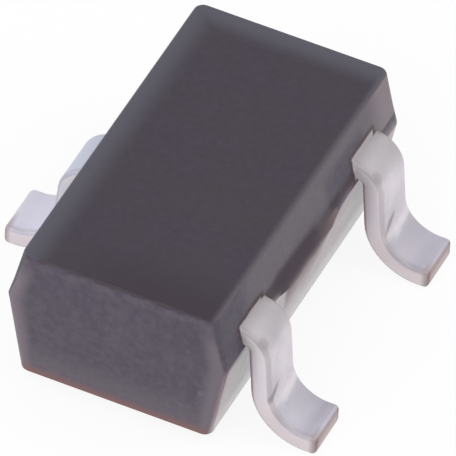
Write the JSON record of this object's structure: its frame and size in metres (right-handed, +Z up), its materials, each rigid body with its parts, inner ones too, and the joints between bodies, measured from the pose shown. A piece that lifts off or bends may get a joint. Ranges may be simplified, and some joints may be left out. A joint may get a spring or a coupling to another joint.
{
  "type": "npn transistor",
  "caption": "Small surface-mount NPN transistor: drafted black moulding with gull-wing leads on both long sides, for switching or amplifying small signals.",
  "frame": {"origin": "on the board's surface, below the middle of the moulding", "axes": "+Z up from the board, +X along the moulding from the base lead to the emitter lead, +Y towards the collector lead"},
  "size_m": [0.003, 0.0028, 0.0013],
  "materials": {
    "moulding": "fine-grained black epoxy moulding compound",
    "tinned_lead": "satin matt tin plating on a lead frame alloy",
    "silicon": "polished silicon with two bright metal pads",
    "die_bond": "dull silvery bonding layer",
    "bond_wire": "bright drawn gold-coloured wire"
  },
  "bodies": {
    "root": {"mould_body": "moulding", "collector_lead": "tinned_lead", "base_lead": "tinned_lead", "emitter_lead": "tinned_lead", "silicon_die": "silicon", "die_attach": "die_bond", "base_bond_wire": "bond_wire", "emitter_bond_wire": "bond_wire"}
  },
  "joints": []
}
